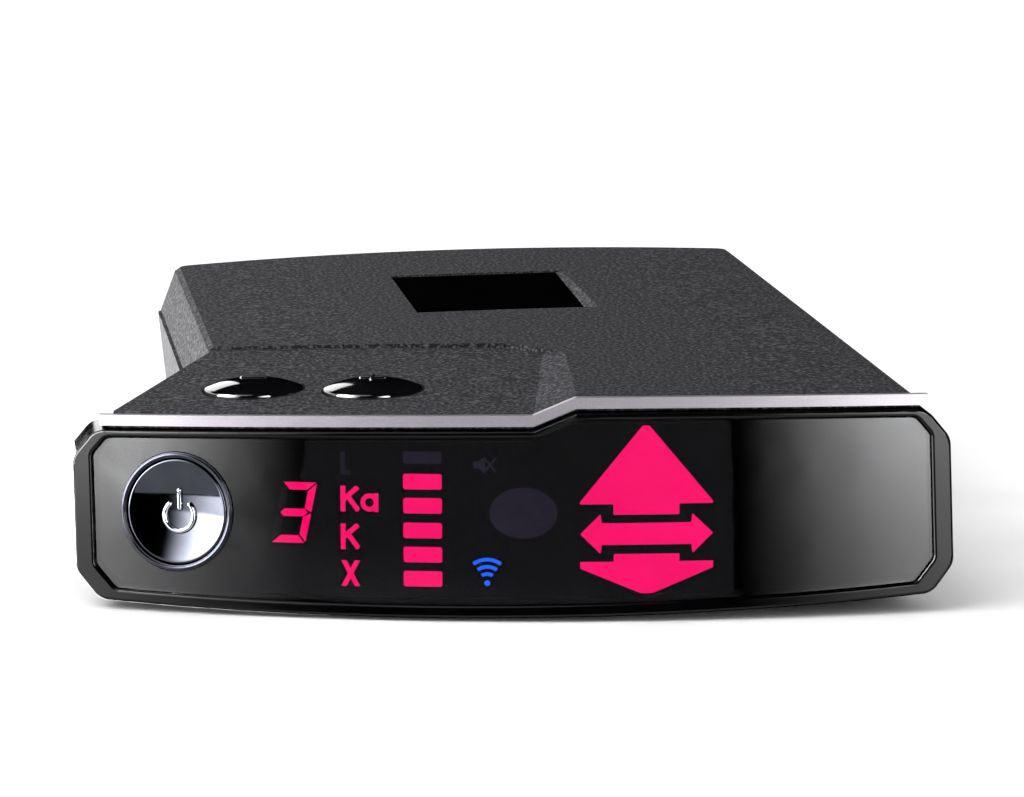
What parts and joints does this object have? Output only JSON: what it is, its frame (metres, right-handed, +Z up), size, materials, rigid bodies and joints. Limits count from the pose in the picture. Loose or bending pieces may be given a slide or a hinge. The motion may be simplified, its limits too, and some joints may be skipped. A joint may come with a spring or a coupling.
{
  "type": "radar detector",
  "caption": "Windscreen radar detector: flat cast case with a turned, convex smoked face showing lit arrows, bars and band letters, a round power button and a sunk pad of volume buttons.",
  "frame": {"origin": "on the flat underside, below the middle of the display face in width and the middle of the flank in length", "axes": "+Z up; +Y points away from the driver, to the antenna end; +X to the driver's right; the display end is at -Y"},
  "size_m": [0.0904, 0.123, 0.0232],
  "materials": {
    "textured_casting": "fine-texture powder coat on a light-metal casting",
    "radome_plastic": "moulded, fine sheen",
    "window_plastic": "polished, dark",
    "label_film": "printed film, blank",
    "satin_trim": "satin, cut along the edge",
    "gloss_black": "piano black",
    "smoked_lens": "smoked, polished",
    "dark_chrome": "dark bright plating",
    "button_gloss": "polished",
    "switch_plastic": "moulded",
    "red_legend": "backlit diffuser",
    "blue_legend": "backlit diffuser",
    "dim_legend": "unlit diffuser",
    "mask_film": "printed film",
    "light_box_plastic": "white moulding",
    "circuit_board": "solder mask",
    "led_package": "moulded",
    "black_plastic": "moulded",
    "steel_pin": "ground",
    "spring_steel": "rolled strip",
    "cast_horn": "as cast",
    "shield_tin": "tinned sheet",
    "chip_epoxy": "moulded epoxy",
    "clear_lens": "polished",
    "speaker_paper": "pressed cone",
    "gold_contact": "gold plated",
    "flex_film": "polyimide film",
    "black_screw": "blackened steel",
    "steel_screw": "zinc plated"
  },
  "bodies": {
    "case": {"top_case": "textured_casting", "bottom_case": "textured_casting", "bracket_channel": "textured_casting", "socket_panel": "black_plastic", "front_radome": "radome_plastic", "top_window": "window_plastic", "rating_label": "label_film", "brow_trim": "satin_trim", "face_bezel": "gloss_black", "display_lens": "smoked_lens", "power_button_ring": "dark_chrome", "power_switch": "switch_plastic", "counter_digit_lit": "red_legend", "counter_digit_unlit": "dim_legend", "band_legend_ka": "red_legend", "band_legend_k": "red_legend", "band_legend_x": "red_legend", "band_legend_l": "dim_legend", "strength_bars_lit": "red_legend", "strength_bar_unlit": "dim_legend", "mute_icon": "dim_legend", "wireless_icon": "blue_legend", "light_sensor_window": "dim_legend", "arrow_ahead": "red_legend", "arrow_side": "red_legend", "arrow_behind": "red_legend", "display_mask": "mask_film", "light_box": "light_box_plastic", "display_board": "circuit_board", "display_leds": "led_package", "volume_down_switch": "switch_plastic", "volume_up_switch": "switch_plastic", "volume_board": "circuit_board", "release_lever_pin": "steel_pin", "release_spring": "spring_steel", "main_board": "circuit_board", "front_antenna_horn": "cast_horn", "rear_antenna_horn": "cast_horn", "receiver_shield": "shield_tin", "processor": "chip_epoxy", "chips": "chip_epoxy", "wireless_module": "shield_tin", "top_laser_sensor": "window_plastic", "front_laser_lenses": "clear_lens", "laser_lens_holder": "black_plastic", "speaker": "black_plastic", "speaker_cone": "speaker_paper", "power_jack": "black_plastic", "power_jack_contacts": "gold_contact", "earphone_jack": "black_plastic", "display_cable": "flex_film", "case_screws": "black_screw", "board_screws": "steel_screw"},
    "power_button_body": {"power_button": "button_gloss", "power_button_plunger": "switch_plastic"},
    "volume_down_body": {"volume_down_button": "button_gloss", "volume_down_plunger": "switch_plastic"},
    "volume_up_body": {"volume_up_button": "button_gloss", "volume_up_plunger": "switch_plastic"},
    "release_lever_body": {"mount_release_lever": "black_plastic"}
  },
  "joints": [
    {"name": "power_press", "type": "slide", "parent": "case", "child": "power_button_body", "axis": [0.4146, 0.905, -0.0951], "range_m": [0, 0.0005], "stiffness_N_per_m": 1500, "springref_m": -0.0003},
    {"name": "volume_down_press", "type": "slide", "parent": "case", "child": "volume_down_body", "axis": [0, 0, -1], "range_m": [0, 0.0005], "stiffness_N_per_m": 1500, "springref_m": -0.0003},
    {"name": "volume_up_press", "type": "slide", "parent": "case", "child": "volume_up_body", "axis": [0, 0, -1], "range_m": [0, 0.0005], "stiffness_N_per_m": 1500, "springref_m": -0.0003},
    {"name": "mount_release", "type": "hinge", "parent": "case", "child": "release_lever_body", "pos_m": [0.00645, 0.002, 0.0031], "axis": [1, 0, 0], "range_deg": [0, 7], "stiffness_Nm_per_rad": 0.3, "springref_deg": -5.73, "deforming": ["release_spring"]}
  ]
}
